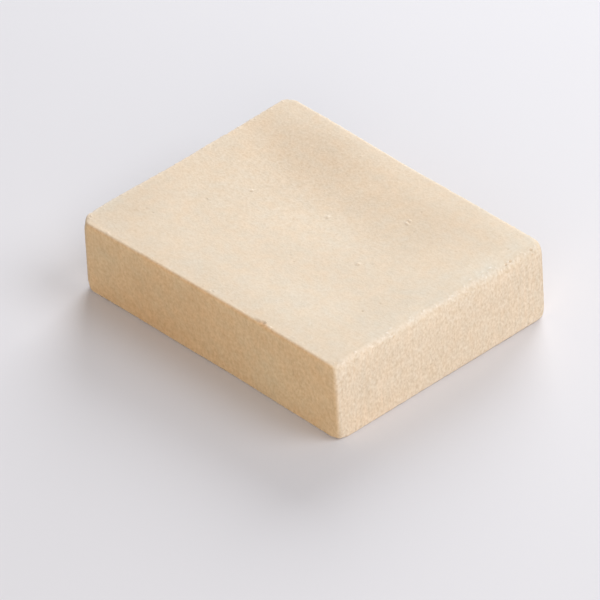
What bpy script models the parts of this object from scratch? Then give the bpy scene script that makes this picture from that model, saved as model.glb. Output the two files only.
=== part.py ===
"""Freeze-dried tofu: one dried slab of pressed bean curd, in metres.

X runs along the length, Y across the width and Z up.  The slab lies on its
broad underside, with the origin at the bottom centre of its box.  Its sides
are called front (-Y), back (+Y), left (-X) and right (+X).
"""
import math

import bmesh
import bpy
from mathutils import Vector, noise

# Driving dimensions
LENGTH = 0.0702            # of the true rectangle that the slab was cut as
WIDTH = 0.0580
HEIGHT = 0.0175            # from the underside to the top rim

# Drying has moved each corner a little: how far out along X, and along Y
CORNER_OUT = {
    ("front", "left", "top"): (-0.0008, 0.0003),
    ("front", "right", "top"): (-0.0009, -0.0003),
    ("back", "left", "top"): (0.0005, 0.0007),
    ("back", "right", "top"): (-0.0001, -0.0004),
    ("front", "left", "foot"): (-0.0003, -0.0009),
    ("front", "right", "foot"): (0.0003, -0.0006),
    ("back", "left", "foot"): (0.0006, 0.0002),
    ("back", "right", "foot"): (0.0010, 0.0001),
}
# and each side's middle: how far out it stands from a straight side
SIDE_BOW = {"front": -0.00035, "back": -0.0001, "left": 0.0001, "right": -0.0001}

# Upright corners, and the rims where the sides meet the broad faces.  A rim
# has two radii, at its left and right ends, or at its front and back ends.
CORNER_RADIUS = {
    ("front", "left"): 0.0025,
    ("front", "right"): 0.0009,
    ("back", "left"): 0.0022,
    ("back", "right"): 0.0025,
}
TOP_RIM = {
    "front": (0.0005, 0.0005),
    "back": (0.0012, 0.0018),
    "left": (0.0005, 0.0012),
    "right": (0.0009, 0.0020),
}
FOOT_RIM = {
    "front": (0.0010, 0.0006),
    "back": (0.0010, 0.0010),
    "left": (0.0010, 0.0010),
    "right": (0.0007, 0.0012),
}
TIP_REACH = 0.0030         # how far the eight worn tips reach along the edges
TIP_WEAR = 0.0005          # how deep they are worn

# Top face: a dish that falls steeply from the back and rises gently in front,
# set askew on the slab, and a low shoulder where the face meets its front rim
DISH_DEPTH = 0.0019
DISH_CENTRE = (-0.004, 0.0070)
DISH_TURN = math.radians(-12)
DISH_LENGTH = 0.082
DISH_TO_BACK = 0.0185      # from the deepest line to the back of the dish
DISH_TO_FRONT = 0.0370     # and to its front
SHOULDER_FALL = 0.00012
SHOULDER_WIDTH = 0.0065

# Underside: a shallow hollow inside a flat rim that the slab rests on
HOLLOW_DEPTH = 0.0004
HOLLOW_LENGTH = 0.054
HOLLOW_WIDTH = 0.041

# Uneven drying: long swells on the top and sides, and chips along the top rim
SWELL = 0.00012
SWELL_SIZE = 0.016
CHIP_DEPTH = 0.00025
CHIP_SIZE = 0.0040
CHIP_FROM = 0.15           # how rough the rim must be, up to 1, to have chipped
SKIN = 0.0020              # swells of the sides, and chips, fade over this depth

# Mesh rows along each axis, and how strongly they crowd towards the edges
ROWS = {"x": 40, "y": 34, "z": 12}
CROWDING = 0.86

TOFU_COLOUR = (0.81, 0.66, 0.46, 1.0)
TOFU_ROUGHNESS = 0.85


def clear_scene():
    for old in list(bpy.context.scene.objects):
        bpy.data.objects.remove(old, do_unlink=True)


def smooth(t):
    """Ease from 0 to 1 as t runs from 0 to 1."""
    t = min(max(t, 0.0), 1.0)
    return t * t * (3.0 - 2.0 * t)


def bell(t):
    """Fall smoothly from 1 at t = 0 to 0 at t = -1 and t = 1."""
    return (1.0 - t * t) ** 2 if abs(t) < 1.0 else 0.0


def crowd(t):
    """Move a row at -1..1 towards the nearer end, so that rims get more rows."""
    quarter = CROWDING * math.pi / 2
    return math.sin(t * quarter) / math.sin(quarter)


def edge_axis(edge):
    span = edge.verts[1].co - edge.verts[0].co
    return max(range(3), key=lambda i: abs(span[i]))


def cube_of_rows():
    """A cube from -1 to 1, cut into rows along X, Y and Z."""
    bm = bmesh.new()
    bmesh.ops.create_cube(bm, size=2.0)
    for axis, name in enumerate("xyz"):
        along = [e for e in bm.edges if edge_axis(e) == axis]
        bmesh.ops.subdivide_edges(bm, edges=along, cuts=ROWS[name] - 1, use_grid_fill=True)
    return bm


def sides_of(x, y):
    return ("back" if y > 0 else "front"), ("right" if x > 0 else "left")


def round_plan(x, y):
    """Round the upright corners: the moved point and its outward direction."""
    side_y, side_x = sides_of(x, y)
    radius = CORNER_RADIUS[side_y, side_x]
    over_x = abs(x) - (LENGTH / 2 - radius)
    over_y = abs(y) - (WIDTH / 2 - radius)
    sign_x, sign_y = math.copysign(1, x), math.copysign(1, y)
    if over_x > 0 and over_y > 0:
        length = math.hypot(over_x, over_y)
        out_x, out_y = over_x / length, over_y / length
        reach = max(over_x, over_y)
        new_x = LENGTH / 2 - radius + reach * out_x
        new_y = WIDTH / 2 - radius + reach * out_y
        return sign_x * new_x, sign_y * new_y, (sign_x * out_x, sign_y * out_y)
    if LENGTH / 2 - abs(x) < WIDTH / 2 - abs(y):
        return x, y, (sign_x, 0.0)
    return x, y, (0.0, sign_y)


def rim_radius(rims, x, y, out):
    """The rim radius at (x, y): blended along each side, and round the corners."""
    side_y, side_x = sides_of(x, y)
    left, right = rims[side_y]
    front, back = rims[side_x]
    on_end = front + (back - front) * (0.5 + y / WIDTH)
    on_long_side = left + (right - left) * (0.5 + x / LENGTH)
    return on_end * out[0] ** 2 + on_long_side * out[1] ** 2


def round_rims(x, y, z):
    """Round the upright corners first, then the top and bottom rims."""
    inset = min(LENGTH / 2 - abs(x), WIDTH / 2 - abs(y))
    x, y, out = round_plan(x, y)
    top = z > HEIGHT / 2
    radius = rim_radius(TOP_RIM if top else FOOT_RIM, x, y, out)
    near_side = radius - inset
    near_face = radius - (HEIGHT - z if top else z)
    if near_side > 0 and near_face > 0:
        scale = max(near_side, near_face) / math.hypot(near_side, near_face)
        move = near_side * (1 - scale)
        x, y = x - out[0] * move, y - out[1] * move
        drop = near_face * (1 - scale)
        z += -drop if top else drop
    return x, y, z, out


def wear_tips(x, y, z):
    """Wear the eight tips, where three faces meet, into soft points."""
    tip = Vector((math.copysign(LENGTH / 2, x), math.copysign(WIDTH / 2, y),
                  HEIGHT if z > HEIGHT / 2 else 0.0))
    from_tip = Vector((x, y, z)) - tip
    wear = TIP_WEAR * smooth(1 - from_tip.length / TIP_REACH)
    inward = Vector((-tip.x, -tip.y, HEIGHT / 2 - tip.z))
    inward = Vector([math.copysign(1, part) for part in inward]).normalized()
    return Vector((x, y, z)) + inward * wear


def dish(x, y):
    """Depth of the top face below its rim."""
    dx, dy = x - DISH_CENTRE[0], y - DISH_CENTRE[1]
    along = dx * math.cos(DISH_TURN) + dy * math.sin(DISH_TURN)
    across = dy * math.cos(DISH_TURN) - dx * math.sin(DISH_TURN)
    across /= DISH_TO_BACK if across > 0 else DISH_TO_FRONT
    return DISH_DEPTH * bell(math.hypot(along / (DISH_LENGTH / 2), across))


def shoulder(y):
    """How far the top face has fallen where it nears the front rim."""
    return SHOULDER_FALL * smooth(1 - (y + WIDTH / 2) / SHOULDER_WIDTH)


def hollow(x, y):
    """Height of the underside above the surface that the slab rests on."""
    dx, dy = x / (HOLLOW_LENGTH / 2), y / (HOLLOW_WIDTH / 2)
    return HOLLOW_DEPTH * bell(math.hypot(dx, dy))


def swell(x, y, z):
    return SWELL * noise.noise(Vector((x, y, z)) / SWELL_SIZE)


def chip(x, y, z):
    """Depth of the small crumbled chips along the top rim."""
    bite = max(noise.noise(Vector((x, y, z + HEIGHT)) / CHIP_SIZE) - CHIP_FROM, 0.0)
    return CHIP_DEPTH * bite / (1 - CHIP_FROM) * smooth(1 - (HEIGHT - z) / SKIN)


def corner_shift(across_x, across_y, height):
    """How far drying moves a point: its eight corners' shifts, blended between."""
    shift_x = shift_y = 0.0
    for (side_y, side_x, level), (out_x, out_y) in CORNER_OUT.items():
        sign_x = 1 if side_x == "right" else -1
        sign_y = 1 if side_y == "back" else -1
        share = (1 + sign_x * across_x) * (1 + sign_y * across_y) / 4
        share *= height if level == "top" else 1 - height
        shift_x += share * sign_x * out_x
        shift_y += share * sign_y * out_y
    return shift_x, shift_y


def block_point(u, v, w):
    """The place on the slab of the point (u, v, w) on the cube of rows."""
    x, y = crowd(u) * LENGTH / 2, crowd(v) * WIDTH / 2
    z = (1 + crowd(w)) * HEIGHT / 2
    x, y, z, out = round_rims(x, y, z)
    x, y, z = wear_tips(x, y, z)

    height = z / HEIGHT
    across_x, across_y = 2 * x / LENGTH, 2 * y / WIDTH
    on_side = smooth(1 - min(LENGTH / 2 - abs(x), WIDTH / 2 - abs(y)) / SKIN)
    push = on_side * (swell(x, y, z) - chip(x, y, z))
    side_y, side_x = sides_of(*out)
    bow_x = SIDE_BOW[side_x] * abs(across_x) * (1 - across_y ** 2)
    bow_y = SIDE_BOW[side_y] * abs(across_y) * (1 - across_x ** 2)

    top = HEIGHT - dish(x, y) - shoulder(y) + swell(x, y, HEIGHT) - SWELL
    base = hollow(x, y)
    z = base + height * (top - base)

    shift_x, shift_y = corner_shift(across_x, across_y, height)
    return Vector((x + shift_x + (push + bow_x) * out[0],
                   y + shift_y + (push + bow_y) * out[1], z))


def centre_on_base(bm):
    """Put the origin at the bottom centre of the slab's box."""
    lows = [min(vert.co[i] for vert in bm.verts) for i in range(3)]
    highs = [max(vert.co[i] for vert in bm.verts) for i in range(3)]
    shift = Vector((-(lows[0] + highs[0]) / 2, -(lows[1] + highs[1]) / 2, 0.0))
    bmesh.ops.translate(bm, verts=bm.verts, vec=shift)


def tofu_material():
    material = bpy.data.materials.new("dried_tofu")
    material.use_nodes = True
    shader = material.node_tree.nodes["Principled BSDF"]
    shader.inputs["Base Color"].default_value = TOFU_COLOUR
    shader.inputs["Roughness"].default_value = TOFU_ROUGHNESS
    shader.inputs["Metallic"].default_value = 0.0
    return material


def tofu_block(collection):
    mesh = bpy.data.meshes.new("tofu_block")
    bm = cube_of_rows()
    for vert in bm.verts:
        vert.co = block_point(*vert.co)
    centre_on_base(bm)
    bmesh.ops.recalc_face_normals(bm, faces=bm.faces)
    bm.to_mesh(mesh)
    bm.free()
    mesh.shade_smooth()
    mesh.materials.append(tofu_material())
    block = bpy.data.objects.new("tofu_block", mesh)
    collection.objects.link(block)
    return block


def main():
    clear_scene()
    collection = bpy.data.collections.new("freeze_dried_tofu")
    bpy.context.scene.collection.children.link(collection)
    tofu_block(collection)


main()
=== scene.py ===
"""Freeze-dried tofu: the looks of one dried slab of pressed bean curd, in metres.

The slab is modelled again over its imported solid, in the same form and from the same
named dimensions, on a mesh fine enough for the relief of dried bean curd: pores and
pits, flakes, drawn lines down the cut ends, and rims that have crumbled a little.
Its sides are called front (-Y), back (+Y), left (-X) and right (+X).
"""

import math
import random

import bmesh
import bpy
import numpy as np
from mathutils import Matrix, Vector, kdtree, noise


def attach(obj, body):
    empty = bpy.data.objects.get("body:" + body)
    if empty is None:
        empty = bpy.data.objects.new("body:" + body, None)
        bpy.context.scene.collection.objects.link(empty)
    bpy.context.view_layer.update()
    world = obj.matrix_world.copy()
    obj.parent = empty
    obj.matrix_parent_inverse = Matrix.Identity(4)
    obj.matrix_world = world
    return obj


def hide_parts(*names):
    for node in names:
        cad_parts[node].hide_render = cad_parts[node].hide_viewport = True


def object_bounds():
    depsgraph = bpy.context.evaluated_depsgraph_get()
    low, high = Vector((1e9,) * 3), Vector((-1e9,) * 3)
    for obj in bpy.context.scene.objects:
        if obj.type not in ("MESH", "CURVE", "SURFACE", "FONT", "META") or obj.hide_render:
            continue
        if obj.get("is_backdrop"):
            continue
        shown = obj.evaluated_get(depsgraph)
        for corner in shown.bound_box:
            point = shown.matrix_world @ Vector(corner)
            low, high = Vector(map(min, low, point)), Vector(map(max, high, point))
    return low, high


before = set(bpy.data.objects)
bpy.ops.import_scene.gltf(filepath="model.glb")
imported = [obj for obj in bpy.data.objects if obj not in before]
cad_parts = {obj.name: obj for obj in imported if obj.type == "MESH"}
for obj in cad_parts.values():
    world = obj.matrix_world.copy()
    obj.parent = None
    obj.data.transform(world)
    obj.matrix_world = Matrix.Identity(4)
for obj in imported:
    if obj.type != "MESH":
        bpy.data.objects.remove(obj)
cad_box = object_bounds()

MM = 0.001
CM2_IN_M2 = 1e4
SEED = 11

# ---------------------------------------------------------------- the form
LENGTH = 0.0702            # of the true rectangle that the slab was cut as
WIDTH = 0.0580
HEIGHT = 0.0175            # from the underside to the top rim

CORNER_OUT = {             # how far drying moved each corner out along X, and along Y
    ("front", "left", "top"): (-0.0008, 0.0003),
    ("front", "right", "top"): (-0.0009, -0.0003),
    ("back", "left", "top"): (0.0005, 0.0007),
    ("back", "right", "top"): (-0.0001, -0.0004),
    ("front", "left", "foot"): (-0.0003, -0.0009),
    ("front", "right", "foot"): (0.0003, -0.0006),
    ("back", "left", "foot"): (0.0006, 0.0002),
    ("back", "right", "foot"): (0.0010, 0.0001),
}
# How far the middle of each side bulges out, or is drawn in where it is below zero
SIDE_BOW = {"front": -0.00035, "back": -0.0001, "left": 0.0001, "right": -0.0001}
CORNER_RADIUS = {
    ("front", "left"): 0.0025,
    ("front", "right"): 0.0009,
    ("back", "left"): 0.0022,
    ("back", "right"): 0.0025,
}
TOP_RIM = {                # radii at each rim's left and right, or front and back, ends
    "front": (0.0005, 0.0005),
    "back": (0.0012, 0.0018),
    "left": (0.0005, 0.0012),
    "right": (0.0009, 0.0020),
}
FOOT_RIM = {
    "front": (0.0010, 0.0006),
    "back": (0.0010, 0.0010),
    "left": (0.0010, 0.0010),
    "right": (0.0007, 0.0012),
}
TIP_REACH = 0.0030         # how far the eight worn tips reach along the edges
TIP_WEAR = 0.0005

DISH_DEPTH = 0.0019
DISH_CENTRE = (-0.004, 0.0070)
DISH_TURN = math.radians(-12)
DISH_LENGTH = 0.082
DISH_TO_BACK = 0.0185      # from its deepest point: it is steeper towards the back
DISH_TO_FRONT = 0.0370
SHOULDER_FALL = 0.00012    # how far the top falls towards the front rim
SHOULDER_WIDTH = 0.0065
HOLLOW_DEPTH = 0.0004      # of the underside
HOLLOW_LENGTH = 0.054
HOLLOW_WIDTH = 0.041

SWELL = 0.00012            # how far the surface wanders in and out
SWELL_SIZE = 0.016
CHIP_DEPTH = 0.00025
CHIP_SIZE = 0.0040
CHIP_FROM = 0.15           # how rough the top rim must be, up to 1, to have chipped
SKIN = 0.0020              # swells of the sides, and chips, fade over this depth

SPANS = (LENGTH, WIDTH, HEIGHT)  # along X, Y and Z
ROWS = {"x": 52, "y": 43, "z": 13}
FINER = 3   # each step halves the rows' spacing
CROWDING = 0.70            # how strongly rows crowd towards the rims, up to 1
MOST_TRIANGLES = 196000
UNFOLDINGS = 4             # rounds of smoothing for triangles that are folded over


def smooth(t):
    """Ease from 0 to 1 as t runs from 0 to 1."""
    t = np.clip(t, 0.0, 1.0)
    return t * t * (3.0 - 2.0 * t)


def bell(t):
    """Fall smoothly from 1 at t = 0 to 0 at t = -1 and t = 1."""
    return np.where(np.abs(t) < 1.0, (1.0 - t * t) ** 2, 0.0)


def crowd(t):
    """Move rows at -1..1 towards the nearer end, so that rims get more rows."""
    quarter = CROWDING * math.pi / 2
    return np.sin(t * quarter) / math.sin(quarter)


def perlin(points, size, shift=0.0):
    """Smooth noise, about -1 to 1, at each point, with swells of that size. Each shift
    picks another part of it."""
    spots = (points / size + shift).tolist()
    return np.array([noise.noise(spot) for spot in spots])


def by_corner(values, x, y):
    """The value of the corner that each point is nearest to."""
    left = np.where(y > 0, values["back", "left"], values["front", "left"])
    right = np.where(y > 0, values["back", "right"], values["front", "right"])
    return np.where(x > 0, right, left)


def round_plan(x, y):
    """Round the upright corners: the moved points and their outward directions."""
    radius = by_corner(CORNER_RADIUS, x, y)
    sign_x, sign_y = np.where(x < 0, -1.0, 1.0), np.where(y < 0, -1.0, 1.0)
    over_x = np.abs(x) - (LENGTH / 2 - radius)
    over_y = np.abs(y) - (WIDTH / 2 - radius)
    turning = (over_x > 0) & (over_y > 0)
    length = np.where(turning, np.hypot(over_x, over_y), 1.0)
    reach = np.maximum(over_x, over_y)
    on_end = LENGTH / 2 - np.abs(x) < WIDTH / 2 - np.abs(y)
    out_x = np.where(turning, over_x / length, on_end * 1.0)
    out_y = np.where(turning, over_y / length, 1.0 - on_end)
    new_x = np.where(turning, LENGTH / 2 - radius + reach * out_x, np.abs(x))
    new_y = np.where(turning, WIDTH / 2 - radius + reach * out_y, np.abs(y))
    return sign_x * new_x, sign_y * new_y, sign_x * out_x, sign_y * out_y


def rim_radius(rims, x, y, out_x, out_y):
    """The rim radius at (x, y): blended along each side, and round the corners."""
    back, right = y > 0, x > 0
    ends = [np.where(right, rims["right"][i], rims["left"][i]) for i in range(2)]
    long_sides = [np.where(back, rims["back"][i], rims["front"][i]) for i in range(2)]
    on_end = ends[0] + (ends[1] - ends[0]) * (0.5 + y / WIDTH)
    on_long_side = long_sides[0] + (long_sides[1] - long_sides[0]) * (0.5 + x / LENGTH)
    return on_end * out_x ** 2 + on_long_side * out_y ** 2


def round_rims(x, y, z):
    """Round the upright corners first, then the top and bottom rims."""
    inset = np.minimum(LENGTH / 2 - np.abs(x), WIDTH / 2 - np.abs(y))
    x, y, out_x, out_y = round_plan(x, y)
    top = z > HEIGHT / 2
    radius = np.where(top, rim_radius(TOP_RIM, x, y, out_x, out_y),
                      rim_radius(FOOT_RIM, x, y, out_x, out_y))
    near_side = radius - inset
    near_face = radius - np.where(top, HEIGHT - z, z)
    turning = (near_side > 0) & (near_face > 0)
    length = np.where(turning, np.hypot(near_side, near_face), 1.0)
    scale = np.where(turning, np.maximum(near_side, near_face) / length, 1.0)
    x = x - out_x * near_side * (1 - scale)
    y = y - out_y * near_side * (1 - scale)
    z = z + np.where(top, -1.0, 1.0) * near_face * (1 - scale)
    return x, y, z, out_x, out_y


def wear_tips(x, y, z):
    """Wear the eight tips, where three faces meet, into soft points."""
    sign_x, sign_y = np.where(x < 0, -1.0, 1.0), np.where(y < 0, -1.0, 1.0)
    up = np.where(z > HEIGHT / 2, 1.0, -1.0)
    from_tip = np.sqrt((x - sign_x * LENGTH / 2) ** 2 + (y - sign_y * WIDTH / 2) ** 2
                       + (z - (up + 1) * HEIGHT / 2) ** 2)
    wear = TIP_WEAR * smooth(1 - from_tip / TIP_REACH) / math.sqrt(3)
    return x - sign_x * wear, y - sign_y * wear, z - up * wear


def dish(x, y):
    """Depth of the top face below its rim."""
    dx, dy = x - DISH_CENTRE[0], y - DISH_CENTRE[1]
    along = dx * math.cos(DISH_TURN) + dy * math.sin(DISH_TURN)
    across = dy * math.cos(DISH_TURN) - dx * math.sin(DISH_TURN)
    across = across / np.where(across > 0, DISH_TO_BACK, DISH_TO_FRONT)
    return DISH_DEPTH * bell(np.hypot(along / (DISH_LENGTH / 2), across))


def shoulder(y):
    """How far the top face has fallen where it nears the front rim."""
    return SHOULDER_FALL * smooth(1 - (y + WIDTH / 2) / SHOULDER_WIDTH)


def hollow(x, y):
    """Height of the underside above the surface that the slab rests on."""
    return HOLLOW_DEPTH * bell(np.hypot(x / (HOLLOW_LENGTH / 2), y / (HOLLOW_WIDTH / 2)))


def swell(x, y, z):
    """How far the surface wanders out at each point."""
    return SWELL * perlin(np.stack([x, y, z], axis=1), SWELL_SIZE)


def chip(x, y, z):
    """Depth of the small crumbled chips along the top rim."""
    rough = perlin(np.stack([x, y, z + HEIGHT], axis=1), CHIP_SIZE)
    bite = np.maximum(rough - CHIP_FROM, 0.0)
    return CHIP_DEPTH * bite / (1 - CHIP_FROM) * smooth(1 - (HEIGHT - z) / SKIN)


def corner_shift(across_x, across_y, height):
    """How far drying moves each point: its eight corners' shifts, blended between."""
    shift_x = shift_y = 0.0
    for (side_y, side_x, level), (out_x, out_y) in CORNER_OUT.items():
        sign_x = 1 if side_x == "right" else -1
        sign_y = 1 if side_y == "back" else -1
        share = (1 + sign_x * across_x) * (1 + sign_y * across_y) / 4
        share = share * (height if level == "top" else 1 - height)
        shift_x = shift_x + share * sign_x * out_x
        shift_y = shift_y + share * sign_y * out_y
    return shift_x, shift_y


def block_points(cube):
    """The places on the slab of points on the cube of rows, and how far in from
    the side and how far below the top they lie."""
    x, y = crowd(cube[:, 0]) * LENGTH / 2, crowd(cube[:, 1]) * WIDTH / 2
    z = (1 + crowd(cube[:, 2])) * HEIGHT / 2
    x, y, z, out_x, out_y = round_rims(x, y, z)
    x, y, z = wear_tips(x, y, z)

    height = z / HEIGHT
    across_x, across_y = 2 * x / LENGTH, 2 * y / WIDTH
    inset = np.minimum(LENGTH / 2 - np.abs(x), WIDTH / 2 - np.abs(y))
    push = smooth(1 - inset / SKIN) * (swell(x, y, z) - chip(x, y, z))
    bow_x = np.where(out_x > 0, SIDE_BOW["right"], SIDE_BOW["left"])
    bow_y = np.where(out_y > 0, SIDE_BOW["back"], SIDE_BOW["front"])
    bow_x = bow_x * np.abs(across_x) * (1 - across_y ** 2)
    bow_y = bow_y * np.abs(across_y) * (1 - across_x ** 2)

    top = HEIGHT - dish(x, y) - shoulder(y) + swell(x, y, np.full_like(x, HEIGHT)) - SWELL
    base = hollow(x, y)
    z = base + height * (top - base)
    shift_x, shift_y = corner_shift(across_x, across_y, height)
    x = x + shift_x + (push + bow_x) * out_x
    y = y + shift_y + (push + bow_y) * out_y
    return np.stack([x, y, z], axis=1), inset, top - z


# ---------------------------------------------------------------- the relief
SIDES = ("left", "right", "front", "back", "foot", "top")      # -X, +X, -Y, +Y, -Z, +Z

# Fine grain all over: how high, and how wide its swells are, in millimetres, and
# how strong it is on each side
GRAINS = ((0.012, 2.6), (0.018, 1.2), (0.028, 0.6))
GRAIN_SHARE = {"left": 1.3, "right": 1.3, "front": 0.9, "back": 1.0, "foot": 0.8, "top": 0.6}

# Upright lines drawn down the cut ends, in millimetres
LINE_DEPTH = {"left": 0.014, "right": 0.014, "front": 0.0, "back": 0.004,
              "foot": 0.0, "top": 0.0}
LINE_WIDTH = 0.55
LINE_LENGTH = 6.0          # times as long as it is wide

# Pores and pits: how many in a square centimetre of each side, their radius in
# millimetres, their depth as a share of the radius, and how far they are drawn out.
# A flake stands proud, so its depth is below zero.
PORES = {
    "pinhole": {
        "count": {"left": 60, "right": 60, "front": 7, "back": 14, "foot": 10, "top": 0.4},
        "radius": (0.12, 0.22), "depth": (0.45, 0.85), "drawn": (1.0, 2.2)},
    "pore": {
        "count": {"left": 6, "right": 6, "front": 1.5, "back": 2.5, "foot": 2, "top": 0.1},
        "radius": (0.20, 0.34), "depth": (0.30, 0.62), "drawn": (1.0, 2.0)},
    "pit": {
        "count": {"left": 0.6, "right": 0.6, "front": 0.4, "back": 0.6, "foot": 0.6, "top": 0.0},
        "radius": (0.34, 0.60), "depth": (0.16, 0.36), "drawn": (1.0, 1.7)},
    "flake": {
        "count": {"left": 0.7, "right": 0.7, "front": 0.4, "back": 0.6, "foot": 0.5, "top": 0.3},
        "radius": (0.20, 0.34), "depth": (-0.38, -0.2), "drawn": (1.0, 2.0)},
}
SCATTER = 0.985            # how much of each side, out from its middle, they reach
PORE_LEAN = 0.3            # how far from upright they lean on the upright sides, in radians

# Crumbs raised along the upper rims, in millimetres: how many on each, how far from it
# they reach, their radius, their height as a share of it, and how far they are drawn
# out. They crowd towards the back and right ends, more so for a higher crowding.
RIM_CRUMBS = {"right": 130, "back": 70, "left": 110, "front": 24}
RIM_CRUMB_REACH = 1.2
RIM_CRUMB_RADIUS, RIM_CRUMB_HEIGHT = (0.16, 0.32), (0.35, 0.65)
RIM_CRUMB_DRAWN = (1.0, 1.6)
RIM_CRUMB_CROWDING = 1.4
RIM_CRUMB_SPAN = 0.97      # how much of each rim, out from its middle, they reach
RIM_CRUMB_ON_TOP = 0.5     # the share of them that lies on top, and not on the side

# The pit that each crumb has left on the side: how far down from the rim, its breadth
# as a share of its length, and its depth as a share of the crumb's height
RIM_PIT_DROP = (1.0, 1.8)
RIM_PIT_BREADTH = (0.6, 1.0)
RIM_PIT_DEPTH = 1.1

# Marks that stand out on the sides that show, in millimetres: the side, the place
# along and across it, half the length and half the breadth, the depth, below zero for
# one that stands proud, and the turn of its length in degrees
MARKS = (
    ("top", (-2.4, 6.5), 0.60, 0.45, -0.34, 45),
    ("top", (-2.0, 5.9), 0.55, 0.26, 0.14, 45),
    ("top", (11.1, 15.5), 0.75, 0.34, -0.20, -5),
    ("top", (11.5, 15.1), 0.65, 0.24, 0.08, -5),
    ("top", (11.3, 14.5), 0.75, 0.34, -0.22, -5),
    ("top", (11.7, 14.1), 0.65, 0.24, 0.08, -5),
    ("top", (11.2, 18.7), 0.34, 0.30, 0.14, 0),
    ("top", (14.3, 13.4), 0.34, 0.28, 0.12, 0),
    ("top", (13.5, -1.2), 0.75, 0.42, -0.32, 45),
    ("top", (13.9, -1.7), 0.60, 0.24, 0.12, 45),
    ("top", (15.7, 0.5), 0.30, 0.26, 0.14, 0),
    ("top", (-18.8, 1.9), 0.70, 0.38, -0.24, 45),
    ("top", (-18.5, 1.5), 0.60, 0.22, 0.12, 45),
    ("top", (25.9, -12.5), 0.42, 0.34, 0.22, 0),
    ("top", (26.5, -8.3), 0.42, 0.34, 0.16, 0),
    ("top", (25.1, 13.8), 0.46, 0.28, 0.14, 60),
    ("top", (-26.1, -17.8), 0.44, 0.26, 0.12, 35),
    ("top", (-28.0, -17.8), 0.40, 0.26, 0.12, 35),
    ("top", (34.5, 19.5), 0.50, 0.42, 0.36, 80),
    ("top", (34.3, 18.9), 0.50, 0.34, -0.24, 80),
    ("top", (34.8, 18.2), 0.44, 0.36, 0.32, 80),
    ("top", (34.7, 25.2), 0.52, 0.44, 0.38, 60),
    ("right", (25.0, 16.3), 0.42, 0.36, 0.30, 80),
    ("right", (-13.3, 16.4), 0.60, 0.36, 0.32, 60),
    ("top", (33.4, 14.6), 0.60, 0.36, -0.22, 85),
    ("top", (33.4, 9.2), 0.60, 0.34, -0.20, 95),
    ("top", (33.8, -13.0), 0.70, 0.38, -0.18, 90),
    ("top", (14.9, -28.75), 1.00, 0.75, 0.45, 20),
    ("top", (13.8, -29.0), 1.30, 0.50, 0.36, 0),
    ("top", (17.1, -28.8), 0.44, 0.40, -0.20, 0),
    ("front", (20.7, 7.2), 0.95, 0.22, 0.20, -25),
    ("front", (22.8, 6.6), 0.55, 0.22, 0.16, -35),
    ("front", (25.2, 12.0), 0.34, 0.30, 0.20, 0),
    ("front", (26.5, 7.2), 0.50, 0.24, 0.16, -20),
    ("front", (-26.9, 13.0), 0.60, 0.26, 0.16, 98),
    ("front", (-20.6, 7.2), 0.40, 0.26, 0.16, 15),
    ("front", (-10.3, 14.2), 0.34, 0.26, 0.14, 0),
)

# Crumbled rims, in millimetres: how strongly each one has crumbled, how far in that
# reaches, and the depth and size of its bites and of its grains
RIM_CRUMBLE = {"front": 0.30, "back": 0.75, "left": 1.0, "right": 1.0}
CRUMBLE_REACH = 1.4
CRUMBLE_DEPTH, CRUMBLE_SIZE = 0.20, 0.9
CRUMBLE_FROM = 0.12        # how rough the rim must be, up to 1, to have crumbled
CRUMBLE_GRAIN, CRUMBLE_GRAIN_SIZE = 0.045, 0.38

# Pale rims, partly crumbled curd and partly a painted highlight: how pale each one is, and how far
# in that reaches, in millimetres
RIM_PALE_AND_HIGHLIGHT = {"front": (0.15, 0.8), "back": (1.5, 1.5), "left": (1.3, 1.4), "right": (1.7, 1.15)}

# Colour: how each side's tone differs from the top's, how cloudy it is, how rough its
# grain is, how much its hue wanders, and how strongly it is streaked near its corners
# The front's deeper, warmer tone is partly the curd's own tan and partly painted shade; the back's
# follows it more lightly.
SIDE_TONE_AND_SHADE = {
    "left": (1.00, 0.98, 0.95), "right": (0.995, 0.982, 0.960),
    "front": (0.910, 0.770, 0.562), "back": (0.93, 0.84, 0.70),
    "foot": (0.98, 0.95, 0.90), "top": (1.00, 1.00, 1.00),
}
SIDE_CLOUD = {"left": 0.1, "right": 0.1, "front": 1.0, "back": 1.0, "foot": 0.7, "top": 0.4}
SIDE_ROUGH = {"left": 1.0, "right": 1.0, "front": 0.65, "back": 0.7, "foot": 0.5, "top": 0.3}
SIDE_TINT = {"left": 0.4, "right": 0.4, "front": 0.7, "back": 0.7, "foot": 0.7, "top": 0.6}
SIDE_DRAWN = {"left": 1.0, "right": 1.0, "front": 0.1, "back": 0.2, "foot": 0.0, "top": 0.0}
DRAWN_ALL_OVER = 0.3       # the share of its streaks that a side has at its middle
DRAWN_FROM, DRAWN_TO = 9.0, 22.0               # millimetres out from there: it grows to 1
TOP_ROUGHER = ((-20, 10), (38, 32), 0.25)      # where on the top, how far round, how much
# Pores get painted shade, deeper with their depth, and flakes a paler tone, partly a painted
# highlight, with their height:
DEEP_SUNK = 0.22           # millimetres: deeper pores are no darker
HIGH_RAISED = 0.17         # and higher flakes are no paler
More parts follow.
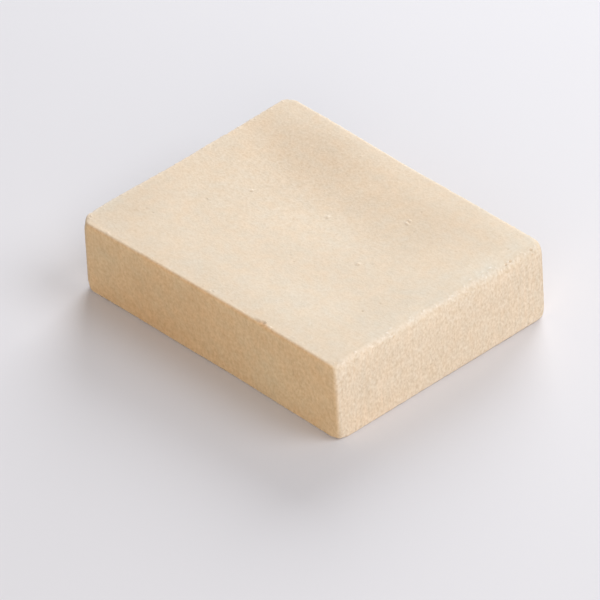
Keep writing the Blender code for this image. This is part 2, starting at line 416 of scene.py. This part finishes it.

# Soft patches of tone and of painted light and shade, in millimetres: the side, the middle
# along and across it, how far they reach, how much lighter they are, and how much warmer.
# The lighter and darker patches on the top paint the light and shade of its dish and rims,
# the thin lighter band along its front rim paints a highlight, the dark warm patch at the
# nick paints its shade, and the darker, warmer patch low on the front paints shade
TONE_AND_LIGHT_PATCHES = (
    ("top", (-21, 18.5), (19, 10), -0.075, 0.02),
    ("top", (18, 19), (15, 9), -0.055, 0.02),
    ("top", (-9, 10), (22, 8), -0.035, 0.01),
    ("top", (28, 27), (12, 5), 0.045, -0.02),
    ("top", (33, -5), (5, 12), 0.030, 0.0),
    ("top", (-3, 3), (17, 11), 0.05, -0.02),
    ("top", (17, -19), (21, 13), 0.04, -0.04),
    ("top", (-31, -17), (9, 14), -0.055, 0.02),
    ("top", (26, 8), (11, 9), 0.03, 0.0),
    ("top", (-10, 17), (42, 15), 0.0, 0.05),
    ("top", (-31, 3), (13, 28), 0.0, 0.03),
    ("top", (34, 5), (12, 38), 0.0, -0.06),
    ("top", (14.6, -28.75), (2.0, 1.15), -0.31, 0.48),
    ("top", (32.5, 16), (4.5, 14), 0.045, -0.04),
    ("top", (-10, 28), (28, 2.5), 0.03, 0.0),
    ("top", (0, -28.7), (70, 0.9), 0.035, 0.06),
    ("top", (-34, -21), (4, 8), 0.03, -0.08),
    ("front", (-12, 8), (26, 13), -0.065, 0.05),
    ("front", (-28, 11), (7, 7), 0.01, -0.09),
    ("front", (17, 5.5), (11, 9), 0.045, -0.10),
    ("front", (-16, 1), (26, 6), -0.05, 0.10),
    ("front", (0, 17), (60, 3.0), 0.05, -0.03),
    ("front", (-36, 9), (2.5, 15), 0.04, -0.05),
    ("front", (0, 17.5), (60, 1.6), -0.04, 0.22),
    ("back", (0, 17.5), (60, 2.2), 0.04, -0.20),
    ("right", (0, 17.5), (60, 6), 0.075, -0.03),
    ("right", (-20, 2), (14, 6), -0.02, 0.06),
)


def uncrowd(t):
    """The place on the cube of rows whose row stands at t on the slab."""
    quarter = CROWDING * math.pi / 2
    return math.asin(t * math.sin(quarter)) / quarter


def apply_modifiers(piece):
    """Keep the mesh that the modifiers make, and take the modifiers off."""
    evaluated = piece.evaluated_get(bpy.context.evaluated_depsgraph_get())
    mesh = bpy.data.meshes.new_from_object(evaluated)
    piece.modifiers.clear()
    piece.data = mesh


def edge_axis(edge):
    span = edge.verts[1].co - edge.verts[0].co
    return max(range(3), key=lambda i: abs(span[i]))


def cube_of_rows():
    """A cube from -1 to 1, cut into fine rows along X, Y and Z."""
    bm = bmesh.new()
    bmesh.ops.create_cube(bm, size=2.0)
    for axis, name in enumerate("xyz"):
        along = [e for e in bm.edges if edge_axis(e) == axis]
        bmesh.ops.subdivide_edges(bm, edges=along, cuts=ROWS[name] - 1, use_grid_fill=True)
    bmesh.ops.recalc_face_normals(bm, faces=bm.faces)
    mesh = bpy.data.meshes.new("tofu_slab")
    bm.to_mesh(mesh)
    bm.free()
    cube = bpy.data.objects.new("tofu_slab", mesh)
    bpy.context.scene.collection.objects.link(cube)
    finer = cube.modifiers.new("finer rows", "SUBSURF")
    finer.subdivision_type = "SIMPLE"
    finer.levels = finer.render_levels = FINER
    apply_modifiers(cube)
    return cube


def read_points(mesh):
    points = np.empty(len(mesh.vertices) * 3, np.float32)
    mesh.vertices.foreach_get("co", points)
    return points.reshape(-1, 3).astype(float)


def write_points(mesh, points):
    mesh.vertices.foreach_set("co", points.astype(np.float32).ravel())
    mesh.update()


def read_normals(mesh):
    normals = np.empty(len(mesh.vertices) * 3, np.float32)
    mesh.vertex_normals.foreach_get("vector", normals)
    return normals.reshape(-1, 3).astype(float)


def side_shares(normals):
    """How much each point belongs to each of SIDES: it changes smoothly at rims."""
    shares = np.zeros((len(normals), len(SIDES)))
    for axis in range(3):
        shares[:, 2 * axis] = np.minimum(normals[:, axis], 0.0) ** 2
        shares[:, 2 * axis + 1] = np.maximum(normals[:, axis], 0.0) ** 2
    return shares / shares.sum(1, keepdims=True)


def by_share(shares, values):
    """A value given for each side, blended by each point's shares."""
    return shares @ np.array([values[side] for side in SIDES])


def grain(points, shares):
    """Height of the fine grain, and of the lines drawn down the cut ends."""
    height = sum(high * perlin(points, size * MM, shift=7.3 * i)
                 for i, (high, size) in enumerate(GRAINS))
    lines = perlin(points * (1.0, 1.0, 1.0 / LINE_LENGTH), LINE_WIDTH * MM, shift=3.1)
    return by_share(shares, GRAIN_SHARE) * height + by_share(shares, LINE_DEPTH) * lines


def by_rim(points, values):
    """A value given for each rim, at the points nearest to it."""
    x, y = points[:, 0], points[:, 1]
    end = np.where(x > 0, values["right"], values["left"])
    long_side = np.where(y > 0, values["back"], values["front"])
    return np.where(np.abs(x) / LENGTH > np.abs(y) / WIDTH, end, long_side)


def rim_fade(points, inset, drop, strength, reach):
    """A strength that fades away from the rims over a reach in millimetres."""
    edge = np.hypot(inset, np.minimum(drop, HEIGHT - drop)) / MM
    return strength * smooth(1 - edge / reach)


def crumble(points, worn):
    """Height of the crumbled rims: bites out of them, and a fine grain."""
    bite = np.maximum(perlin(points, CRUMBLE_SIZE * MM, shift=5.7) - CRUMBLE_FROM, 0.0)
    fine = perlin(points, CRUMBLE_GRAIN_SIZE * MM, shift=1.9)
    return worn * (CRUMBLE_GRAIN * fine - CRUMBLE_DEPTH * bite)


def plane_of(axis):
    """The two axes along and across the sides that face along an axis."""
    return [other for other in range(3) if other != axis]


def side_area(axis):
    """The area in square centimetres of a side that faces along an axis."""
    along, across = plane_of(axis)
    return SPANS[along] * SPANS[across] * CM2_IN_M2


def scattered_pores(draw):
    """Every scattered pore: its spot on the cube, its side's axis, its two half sizes,
    its depth, and the turn of its length."""
    for kind in PORES.values():
        for place, side in enumerate(SIDES):
            axis, high = divmod(place, 2)
            for _ in range(round(kind["count"][side] * side_area(axis))):
                spot = [uncrowd(draw.uniform(-SCATTER, SCATTER)) for _ in range(3)]
                spot[axis] = 2 * high - 1
                radius = draw.uniform(*kind["radius"])
                depth = radius * draw.uniform(*kind["depth"])
                length = radius * draw.uniform(*kind["drawn"])
                upright = math.pi / 2 + draw.uniform(-PORE_LEAN, PORE_LEAN)
                turn = draw.uniform(0, math.pi) if axis == 2 else upright
                yield spot, axis, length, radius, depth, turn


def rim_crumbs(draw):
    """Crumbs along the upper rims and their pits, in the form of scattered_pores."""
    for rim, count in RIM_CRUMBS.items():
        axis, high = divmod(SIDES.index(rim), 2)
        for _ in range(count):
            on_top = draw.random() < RIM_CRUMB_ON_TOP
            along = 1 - 2 * draw.random() ** RIM_CRUMB_CROWDING
            inward = draw.uniform(0, RIM_CRUMB_REACH) * MM
            spot = [0.0, 0.0, 1.0]
            spot[1 - axis] = uncrowd(RIM_CRUMB_SPAN * along)
            spot[axis] = 2 * high - 1
            if on_top:
                spot[axis] *= uncrowd(1 - 2 * inward / SPANS[axis])
            else:
                spot[2] = uncrowd(1 - 2 * inward / HEIGHT)
            radius = draw.uniform(*RIM_CRUMB_RADIUS)
            height = radius * draw.uniform(*RIM_CRUMB_HEIGHT)
            turn = draw.uniform(0, math.pi)
            length = radius * draw.uniform(*RIM_CRUMB_DRAWN)
            yield spot, 2 if on_top else axis, length, radius, -height, turn

            pit = [*spot]
            pit[axis] = 2 * high - 1
            pit[2] = uncrowd(1 - 2 * draw.uniform(*RIM_PIT_DROP) * MM / HEIGHT)
            breadth = radius * draw.uniform(*RIM_PIT_BREADTH)
            yield pit, axis, radius, breadth, RIM_PIT_DEPTH * height, math.pi / 2


def placed_marks():
    """The marks of MARKS, in the form of scattered_pores."""
    for side, (along, across), length, breadth, depth, turn in MARKS:
        axis, high = divmod(SIDES.index(side), 2)
        first, second = plane_of(axis)
        middle = HEIGHT / 2 if second == 2 else 0.0
        spot = [0.0, 0.0, 0.0]
        spot[first] = uncrowd(along * MM / SPANS[first] * 2)
        spot[second] = uncrowd((across * MM - middle) / SPANS[second] * 2)
        spot[axis] = 2 * high - 1
        yield spot, axis, length, breadth, depth, math.radians(turn)


def tones_with_painted_light(points, shares):
    """The red, green and blue tone of each point, with the soft patches, which paint light and
    shade as well as tone.
    """
    tones = [by_share(shares, {side: tone[i] for side, tone in SIDE_TONE_AND_SHADE.items()})
             for i in range(3)]
    for side, middle, reach, lighter, warmer in TONE_AND_LIGHT_PATCHES:
        place = SIDES.index(side)
        away = (points[:, plane_of(place // 2)] / MM - middle) / reach
        cover = bell(np.hypot(away[:, 0], away[:, 1])) * shares[:, place]
        for i, warmth in enumerate((warmer / 2, 0.0, -warmer / 2)):
            tones[i] = tones[i] * (1 + cover * (lighter + warmth))
    return tones


def roughness(points, shares):
    """How rough the grain is at each point, more so towards the back of the top."""
    middle, reach, more = TOP_ROUGHER
    away = (points[:, :2] / MM - middle) / reach
    cover = bell(np.hypot(away[:, 0], away[:, 1])) * shares[:, SIDES.index("top")]
    return by_share(shares, SIDE_ROUGH) + more * cover


def streaked(points, shares):
    """How strongly upright streaks show at each point: more so near the corners."""
    across_x, across_y = np.abs(points[:, 0]) / LENGTH, np.abs(points[:, 1]) / WIDTH
    from_middle = np.minimum(across_x, across_y) * WIDTH / MM
    near_corner = smooth((from_middle - DRAWN_FROM) / (DRAWN_TO - DRAWN_FROM))
    strength = DRAWN_ALL_OVER + (1 - DRAWN_ALL_OVER) * near_corner
    return by_share(shares, SIDE_DRAWN) * strength


def press_pores(points):
    """The depth that pores sink each point by, and the height that flakes raise it by."""
    tree = kdtree.KDTree(len(points))
    for i, point in enumerate(points):
        tree.insert(point, i)
    tree.balance()
    marks = [*scattered_pores(random.Random(SEED)), *rim_crumbs(random.Random(SEED + 1)),
             *placed_marks()]
    centres = block_points(np.array([mark[0] for mark in marks]))[0]
    sunk, raised = np.zeros(len(points)), np.zeros(len(points))
    for centre, (_, axis, length, breadth, depth, turn) in zip(centres, marks):
        near = np.array([i for _, i, _ in tree.find_range(centre, max(length, breadth) * MM)], int)
        away = (points[near] - centre) / MM
        first, second = plane_of(axis)
        lengthwise = away[:, first] * math.cos(turn) + away[:, second] * math.sin(turn)
        across = np.sqrt(np.maximum((away ** 2).sum(1) - lengthwise ** 2, 0.0))
        shape = abs(depth) * bell(np.hypot(lengthwise / length, across / breadth))
        moved = sunk if depth > 0 else raised
        moved[near] = np.maximum(moved[near], shape)
    return sunk, raised


def paint(mesh, name, red, green, blue):
    """Store three values at each point, for the finish to read by name."""
    values = np.stack([red, green, blue, np.ones(len(red))], axis=1).astype(np.float32)
    mesh.attributes.new(name, "FLOAT_COLOR", "POINT").data.foreach_set("color", values.ravel())


def unfold(mesh):
    """Smooth out the few triangles that merging has folded over."""
    bm = bmesh.new()
    bm.from_mesh(mesh)
    for _ in range(UNFOLDINGS):
        bm.normal_update()
        folded = [e for e in bm.edges if fold(e) < 0]
        corners = {v for e in folded for face in e.link_faces for v in face.verts}
        bmesh.ops.smooth_vert(bm, verts=list(corners), factor=0.5, use_axis_x=True,
                              use_axis_y=True, use_axis_z=True)
    bm.to_mesh(mesh)
    bm.free()


def fold(edge):
    """How far an edge's two faces look the same way, from 1 down to -1."""
    first, second = edge.link_faces
    return first.normal.dot(second.normal)


def thin_out(piece):
    """Merge the smallest triangles, where the surface is plainest, down to the limit."""
    triangles = sum(len(face.vertices) - 2 for face in piece.data.polygons)
    if triangles > MOST_TRIANGLES:
        merge = piece.modifiers.new("merge plain triangles", "DECIMATE")
        merge.ratio = MOST_TRIANGLES / triangles
        merge.use_collapse_triangulate = True
        apply_modifiers(piece)
        unfold(piece.data)


# How each side lies on the square sheet that its colours are stored on: where its low
# corner goes and its scale, in millimetres of a sheet this wide
SHEET = 112
SHEET_PLACES = {
    "top": ((1.0, 1.0), 1.0), "front": ((1.0, 61.5), 1.0), "back": ((1.0, 80.5), 1.0),
    "right": ((74.0, 1.0), 1.0), "left": ((93.0, 1.0), 1.0), "foot": ((74.5, 61.5), 0.6),
}
UPRIGHT = ("right", "left", "foot")    # laid down with their second axis along the sheet


def nearest_side(points):
    """The place in SIDES of the side that each point lies nearest to."""
    x, y, z = points.T
    top = HEIGHT - dish(x, y) - shoulder(y)
    depths = [LENGTH / 2 + x, LENGTH / 2 - x, WIDTH / 2 + y, WIDTH / 2 - y,
              z - hollow(x, y), top - z]
    return np.argmin(depths, axis=0)


def unwrap(mesh):
    """Lay each side flat on the sheet."""
    points = read_points(mesh)
    corner_points = np.empty(len(mesh.loops), np.int32)
    mesh.loops.foreach_get("vertex_index", corner_points)
    corner_faces = np.repeat(np.arange(len(mesh.polygons)), [p.loop_total for p in mesh.polygons])
    middles = np.empty(len(mesh.polygons) * 3, np.float32)
    mesh.polygons.foreach_get("center", middles)
    sides = nearest_side(middles.reshape(-1, 3).astype(float))[corner_faces]
    spread = points[corner_points] + (LENGTH / 2, WIDTH / 2, 0)
    places = np.zeros((len(corner_points), 2))
    for number, side in enumerate(SIDES):
        (left, low), scale = SHEET_PLACES[side]
        flat = spread[:, plane_of(number // 2)] / MM * scale
        if side in UPRIGHT:
            flat = flat[:, ::-1]
        on_side = sides == number
        places[on_side] = ((flat + (left, low)) / SHEET)[on_side]
    sheet = mesh.uv_layers.new(name="OFBake")
    sheet.uv.foreach_set("vector", places.astype(np.float32).ravel())


def keep_in_box(points):
    """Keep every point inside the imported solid's box."""
    low, high = (np.array(corner) for corner in cad_box)
    return np.clip(points, low, high)


def centred(points):
    """Put the middle of the points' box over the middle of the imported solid's."""
    middle = (np.array(cad_box[0]) + np.array(cad_box[1])) / 2
    shift = middle - (points.max(0) + points.min(0)) / 2
    return points + shift * (1, 1, 0)


def paint_shade_and_wear(mesh, sunk, pale, raised):
    """Store how far each point is sunk, on a pale rim, or raised, from 0 to 1: the finish paints
    shade into what is sunk, and a paler tone, partly a painted highlight, onto pale rims and
    raised flakes.
    """
    paint(mesh, "wear", np.clip(sunk / DEEP_SUNK, 0, 1), np.clip(pale, 0, 1),
          np.clip(raised / HIGH_RAISED, 0, 1))


def paint_look(mesh, points, shares):
    """Store how cloudy, rough, tinted and streaked each point is."""
    paint(mesh, "look", by_share(shares, SIDE_CLOUD), roughness(points, shares),
          by_share(shares, SIDE_TINT))
    paint(mesh, "drawn", *[streaked(points, shares)] * 3)


def tofu_slab():
    """The slab with all its relief, and with what its finish reads at each point."""
    slab = cube_of_rows()
    points, inset, drop = block_points(read_points(slab.data))
    points = centred(points)
    write_points(slab.data, points)
    normals = read_normals(slab.data)
    shares = side_shares(normals)
    worn = rim_fade(points, inset, drop, by_rim(points, RIM_CRUMBLE), CRUMBLE_REACH)
    pale_share, pale_reach = [by_rim(points, {rim: pair[i] for rim, pair in RIM_PALE_AND_HIGHLIGHT.items()})
                              for i in range(2)]
    pale = rim_fade(points, inset, drop, pale_share, pale_reach)
    sunk, raised = press_pores(points)
    height = raised - sunk + grain(points, shares) + crumble(points, worn)
    write_points(slab.data, keep_in_box(points + normals * height[:, None] * MM))

    # The tone carries painted shade on the front, and the painted light and shade of the patches
    paint(slab.data, "tone", *tones_with_painted_light(points, shares))
    # How sunk, pale and raised each point is: for painted shade in pores, and a paler tone, partly
    # a painted highlight, on rims and flakes
    paint_shade_and_wear(slab.data, sunk, pale, raised)
    paint_look(slab.data, points, shares)
    thin_out(slab)
    write_points(slab.data, keep_in_box(read_points(slab.data)))
    unwrap(slab.data)
    slab.data.shade_smooth()
    return slab


# ---------------------------------------------------------------- the finish
TOFU_PALE = (0.883, 0.766, 0.622)
TOFU_DEEP = (0.790, 0.650, 0.494)
# Painted shade in pores and pinholes
PORE_SHADE = (0.80, 0.755, 0.70)    # times the tone round it
# Paler crumbled rims and specks, the rims partly a painted highlight
PALE_TONE_AND_HIGHLIGHT = (1.08, 1.10, 1.145)
# Paler flakes, partly a painted highlight
FLAKE_PALE_AND_HIGHLIGHT = (1.13, 1.17, 1.24)
GRAIN_TINT = (0.75, 1.00, 1.38)    # how far the grain moves red, green and blue
TINT_COOL, TINT_WARM = (0.955, 1.0, 1.045), (1.045, 1.0, 0.955)

# Noises: the size of their swells in millimetres, how many finer ones are laid over
# them, and a shift that picks another part of the same noise
CLOUD = (6.0, 3.0)
MOTTLE = (0.9, 1.0)
FLECK = (0.5, 1.0)
STREAK = (0.8, 1.0)
HUE_NARROW, HUE_WIDE = (2.0, 0.0, 20), (6.0, 1.0, 40)
RIM_BREAK = (0.7, 1.0, 60)
GLOSS = (0.8, 2.0)
BUMP_FINE, BUMP_WIDE = (0.22, 1.0), (0.5, 1.5)

# Some are drawn out upright: the scale, along X, Y and Z, of the places they are read at
SLIGHTLY_DRAWN = (1.0, 1.0, 0.75)
FAR_DRAWN = (1.0, 1.0, 0.1)

# Dots: the cells they stand in and their radius, in millimetres, and the share of the
# cells that has one
PINHOLES = (0.50, 0.19, 0.40)
SPECKS = (1.05, 0.16, 0.07)

# How strongly each shows: where there are two values, the first is times how cloudy or
# how rough the side is, and the second is added all over
CLOUD_SHOWS = (0.7, 0.2)
MOTTLE_SHOWS = (0.20, 0.06)
FLECK_SHOWS = 0.52
STREAK_SHOWS, STREAK_WARMS = 0.16, 2.0
PINHOLE_SHOWS = (0.70, -0.20)
PORE_SHADE_SHOWS = (0.5, 0.35)
BUMP_SHOWS = (0.45, 0.25)
RIM_BREAKS = (1.6, 0.1)            # times the noise, and all over

BUMP_HEIGHT = 0.16                 # millimetres
BUMP_FINE_SHARE = 0.1
PINHOLE_HEIGHT, SPECK_HEIGHT = -0.6, 0.5       # shares of the bump's height
ROUGHNESS = (0.80, 1.0)
DIFFUSE_ROUGHNESS = 0.2
SHINE = 0.35

# The mix node has sockets of the same name for each kind of value: those of colours
MIX_FIRST, MIX_SECOND, MIX_RESULT = 6, 7, 2


class Nodes:
    """Adds linked nodes to one material, and gives their first useful outputs."""

    def __init__(self, material):
        material.use_nodes = True
        self.tree = material.node_tree
        self.shader = self.tree.nodes["Principled BSDF"]

    def add(self, kind, inputs, **settings):
        node = self.tree.nodes.new("ShaderNode" + kind)
        for name, value in settings.items():
            setattr(node, name, value)
        for name, value in inputs.items():
            self.feed(node.inputs[name], value)
        return node

    def feed(self, socket, value):
        if isinstance(value, bpy.types.NodeSocket):
            self.tree.links.new(value, socket)
        elif socket.type == "RGBA":
            socket.default_value = (*value, 1.0)
        else:
            socket.default_value = value

    def math(self, operation, *values):
        return self.add("Math", dict(enumerate(values)), operation=operation).outputs[0]

    def scaled(self, vector, scale):
        inputs = {0: vector, 1: scale}
        return self.add("VectorMath", inputs, operation="MULTIPLY").outputs[0]

    def grained(self, colour, grain):
        """The colour, lightened or darkened by a grain about zero."""
        moved = self.add("VectorMath", {0: GRAIN_TINT, "Scale": grain}, operation="SCALE")
        factor = self.add("VectorMath", {0: moved.outputs[0], 1: (1.0, 1.0, 1.0)}).outputs[0]
        return self.scaled(colour, factor)

    def noise(self, vector, size, detail, shift=0):
        """Smooth noise about 0.5, with swells of that size in millimetres."""
        if shift:
            vector = self.add("VectorMath", {0: vector, 1: (shift,) * 3}).outputs[0]
        inputs = {"Vector": vector, "Scale": 1 / size, "Detail": detail}
        return self.add("TexNoise", inputs).outputs["Fac"]

    def swing(self, vector, size, detail):
        """Smooth noise about zero."""
        return self.math("SUBTRACT", self.noise(vector, size, detail), 0.5)

    def between(self, value, ends):
        """A value from 0 to 1, brought between two others."""
        inputs = {"Value": value, "To Min": ends[0], "To Max": ends[1]}
        return self.add("MapRange", inputs).outputs[0]

    def dots(self, vector, size, radius, share):
        """1 in the middle of dots of that radius, in some of the cells of that size."""
        cells = self.add("TexVoronoi", {"Vector": vector, "Scale": 1 / size})
        near = self.add("MapRange", {"Value": cells.outputs["Distance"],
                                     "From Min": radius / size, "From Max": 0.0}).outputs[0]
        pick = self.add("SeparateColor", {0: cells.outputs["Color"]}).outputs[0]
        return self.math("MULTIPLY", near, self.math("LESS_THAN", pick, share))

    def blend(self, kind, factor, first, second):
        inputs = {"Factor": factor, MIX_FIRST: first, MIX_SECOND: second}
        mix = self.add("Mix", inputs, data_type="RGBA", blend_type=kind)
        return mix.outputs[MIX_RESULT]

    def attribute(self, name):
        return self.add("Attribute", {}, attribute_name=name).outputs["Color"]

    def three_of(self, name):
        """The three values that were painted under a name."""
        outputs = self.add("SeparateColor", {0: self.attribute(name)}).outputs
        return outputs[0], outputs[1], outputs[2]


class Surface:
    """What the finish reads at each point of the slab."""

    def __init__(self, nodes):
        place = nodes.add("TexCoord", {}).outputs["Object"]
        self.mm = nodes.scaled(place, (1 / MM,) * 3)
        self.drawn = nodes.scaled(self.mm, SLIGHTLY_DRAWN)
        # Read under the name wear: how far sunk, which the finish darkens as painted shade, and
        # how pale and how raised, which it makes paler, partly as a painted highlight
        self.sunk, self.pale, self.raised = nodes.three_of("wear")
        self.cloudy, self.rough, self.tinted = nodes.three_of("look")
        streak = nodes.swing(nodes.scaled(self.mm, FAR_DRAWN), *STREAK)
        self.streak = nodes.math("MULTIPLY", streak, nodes.attribute("drawn"))
        shown = nodes.math("MULTIPLY_ADD", self.rough, *PINHOLE_SHOWS)
        self.pinholes = nodes.math("MULTIPLY", nodes.dots(self.drawn, *PINHOLES), shown)
        self.specks = nodes.dots(self.mm, *SPECKS)


def curd_colour(nodes, at):
    """Chalky cream, clouded, mottled, flecked and streaked, in the tone of each side, with its
    painted light and shade.
    """
    clouds = nodes.math("MULTIPLY_ADD", at.cloudy, *CLOUD_SHOWS)
    tone = nodes.math("MULTIPLY_ADD", nodes.swing(at.mm, *CLOUD), clouds, 0.5)
    colour = nodes.blend("MIX", tone, TOFU_DEEP, TOFU_PALE)

    flecks = nodes.math("MULTIPLY", at.rough, FLECK_SHOWS)
    grain_tone = nodes.math("MULTIPLY", nodes.swing(at.drawn, *FLECK), flecks)
    mottles = nodes.math("MULTIPLY_ADD", at.cloudy, *MOTTLE_SHOWS)
    grain_tone = nodes.math("MULTIPLY_ADD", nodes.swing(at.mm, *MOTTLE), mottles, grain_tone)
    grain_tone = nodes.math("MULTIPLY_ADD", at.streak, STREAK_SHOWS, grain_tone)
    colour = nodes.grained(colour, grain_tone)
    return nodes.blend("MULTIPLY", 1.0, colour, nodes.attribute("tone"))


def wandering_hue(nodes, at, colour):
    """The colour, a little cooler in some places and warmer in others."""
    hue = nodes.math("ADD", nodes.noise(at.mm, *HUE_NARROW), nodes.noise(at.mm, *HUE_WIDE))
    hue = nodes.math("SUBTRACT", hue, 0.5)
    hue = nodes.math("MULTIPLY_ADD", at.streak, STREAK_WARMS, hue)
    shade = nodes.blend("MIX", hue, TINT_COOL, TINT_WARM)
    return nodes.blend("MULTIPLY", at.tinted, colour, shade)


def shaded_and_worn_colour(nodes, at, colour):
    """The colour, with painted shade in pores and pinholes, paler on specks, and paler on crumbled
    rims and on flakes, where that is partly a painted highlight.
    """
    pores = nodes.math("MULTIPLY", at.sunk, nodes.math("MULTIPLY_ADD", at.rough, *PORE_SHADE_SHOWS))
    pore_shade = nodes.math("MAXIMUM", at.pinholes, pores)
    colour = nodes.blend("MULTIPLY", pore_shade, colour, PORE_SHADE)

    # Paler crumbled rims and specks, the rims partly a painted highlight
    broken = nodes.math("MULTIPLY_ADD", nodes.noise(at.mm, *RIM_BREAK), *RIM_BREAKS)
    rims = nodes.math("MINIMUM", nodes.math("MULTIPLY", at.pale, broken), 1.0)
    colour = nodes.blend("MULTIPLY", nodes.math("MAXIMUM", rims, at.specks), colour, PALE_TONE_AND_HIGHLIGHT)
    # Paler flakes, partly a painted highlight
    return nodes.blend("MULTIPLY", at.raised, colour, FLAKE_PALE_AND_HIGHLIGHT)


def curd_bump(nodes, at):
    """The grain that is too fine for the mesh, with pinholes and specks."""
    fine, wide = nodes.noise(at.mm, *BUMP_FINE), nodes.noise(at.drawn, *BUMP_WIDE)
    height = nodes.math("MULTIPLY_ADD", fine, BUMP_FINE_SHARE, wide)
    height = nodes.math("MULTIPLY_ADD", at.pinholes, PINHOLE_HEIGHT, height)
    height = nodes.math("MULTIPLY_ADD", at.specks, SPECK_HEIGHT, height)
    strength = nodes.math("MULTIPLY_ADD", at.rough, *BUMP_SHOWS)
    inputs = {"Height": height, "Strength": strength, "Distance": BUMP_HEIGHT * MM}
    return nodes.add("Bump", inputs).outputs[0]


def tofu_material():
    """Dried bean curd: matte chalky cream, paler where it has crumbled, with painted shade in its
    pores and a painted highlight on its rims and flakes.
    """
    material = bpy.data.materials.new("dried_tofu_finish")
    nodes = Nodes(material)
    at = Surface(nodes)
    colour = curd_colour(nodes, at)
    colour = wandering_hue(nodes, at, colour)
    colour = shaded_and_worn_colour(nodes, at, colour)
    nodes.feed(nodes.shader.inputs["Base Color"], colour)
    roughness = nodes.between(nodes.noise(at.mm, *GLOSS), ROUGHNESS)
    nodes.feed(nodes.shader.inputs["Roughness"], roughness)
    nodes.feed(nodes.shader.inputs["Diffuse Roughness"], DIFFUSE_ROUGHNESS)
    nodes.feed(nodes.shader.inputs["Specular IOR Level"], SHINE)
    nodes.feed(nodes.shader.inputs["Normal"], curd_bump(nodes, at))
    return material


# ---------------------------------------------------------------- the studio
CAMERA_AZIMUTH = math.radians(44.70)
CAMERA_ELEVATION = math.radians(36.23)
CAMERA_DISTANCE = 1.1648
CAMERA_AIM = (-0.002089, -0.001462, 0.0)
CAMERA_LENS, CAMERA_SENSOR = 360, 36           # millimetres
CAMERA_CLIP = (0.05, 20)

LIGHT_DISTANCE = 0.9
LIGHT_SIZE = 0.6
LIGHTS = {                 # azimuth and elevation in degrees, and watts of red, green and blue
    "key": (120, 50, (3.02, 3.13, 3.22)),
    "back": (210, 25, (6.21, 6.32, 6.42)),
    "fill": (45, 25, (2.86, 2.60, 2.34)),
}
SKY = (0.309, 0.300, 0.291)
BACKDROP = (0.86, 0.86, 0.88)
PAPER = (0.770, 0.762, 0.803)
PAPER_FIBRE = (0.5, 2.0)           # as the noises of the finish
PAPER_ROUGHNESS = (0.55, 0.75)
PAPER_SHINE = 0.3
FLOOR_SIZE = 6.0


def direction(azimuth, elevation):
    """The way from the slab towards a place round it; azimuth 0 is in front."""
    return Vector((math.sin(azimuth) * math.cos(elevation),
                   -math.cos(azimuth) * math.cos(elevation), math.sin(elevation)))


def camera():
    """A long lens, high up and half round to the right."""
    data = bpy.data.cameras.new("camera")
    data.lens, data.sensor_width = CAMERA_LENS, CAMERA_SENSOR
    data.clip_start, data.clip_end = CAMERA_CLIP
    view = bpy.data.objects.new("camera", data)
    back = direction(CAMERA_AZIMUTH, CAMERA_ELEVATION)
    view.location = Vector(CAMERA_AIM) + back * CAMERA_DISTANCE
    view.rotation_euler = back.to_track_quat("Z", "Y").to_euler()
    bpy.context.scene.collection.objects.link(view)
    bpy.context.scene.camera = view


def area_light(name, azimuth, elevation, watts):
    """A round soft light that faces the slab and that the camera doesn't see."""
    data = bpy.data.lights.new(name, "AREA")
    data.shape = "DISK"
    data.size = LIGHT_SIZE
    data.energy = max(watts)
    data.color = [watt / max(watts) for watt in watts]
    light = bpy.data.objects.new(name, data)
    towards = direction(math.radians(azimuth), math.radians(elevation))
    light.location = towards * LIGHT_DISTANCE
    light.rotation_euler = towards.to_track_quat("Z", "Y").to_euler()
    light.visible_camera = False
    bpy.context.scene.collection.objects.link(light)


def paper_floor():
    """A wide sheet of pale paper, which is part of the stage and not of the part."""
    bpy.ops.mesh.primitive_plane_add(size=FLOOR_SIZE)
    floor = bpy.context.object
    floor.name = "studio_floor"
    paper = bpy.data.materials.new("pale_paper")
    nodes = Nodes(paper)
    place = nodes.add("TexCoord", {}).outputs["Object"]
    fibre = nodes.noise(nodes.scaled(place, (1 / MM,) * 3), *PAPER_FIBRE)
    nodes.feed(nodes.shader.inputs["Roughness"], nodes.between(fibre, PAPER_ROUGHNESS))
    nodes.feed(nodes.shader.inputs["Base Color"], PAPER)
    nodes.feed(nodes.shader.inputs["Specular IOR Level"], PAPER_SHINE)
    floor.data.materials.append(paper)
    floor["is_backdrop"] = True


def sky():
    """An even soft sky, with a pale backdrop where the camera sees past the floor."""
    world = bpy.data.worlds.new("studio")
    world.use_nodes = True
    tree = world.node_tree
    background = tree.nodes["Background"]
    mix = tree.nodes.new("ShaderNodeMix")
    mix.data_type = "RGBA"
    mix.inputs[MIX_FIRST].default_value = (*SKY, 1.0)
    mix.inputs[MIX_SECOND].default_value = (*BACKDROP, 1.0)
    path = tree.nodes.new("ShaderNodeLightPath")
    tree.links.new(path.outputs["Is Camera Ray"], mix.inputs["Factor"])
    tree.links.new(mix.outputs[MIX_RESULT], background.inputs["Color"])
    bpy.context.scene.world = world


def dress(piece):
    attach(piece, "root")


def main():
    finish = tofu_material()
    slab = tofu_slab()
    slab.data.materials.append(finish)
    dress(slab)
    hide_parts("tofu_block")
    paper_floor()
    sky()
    for name, light in LIGHTS.items():
        area_light(name, *light)
    camera()
    bpy.context.scene.view_settings.view_transform = "Standard"


main()

model_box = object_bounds()
boxes = {"cad": cad_box, "visual": model_box}
{name: [list(corner) for corner in box] for name, box in boxes.items()}
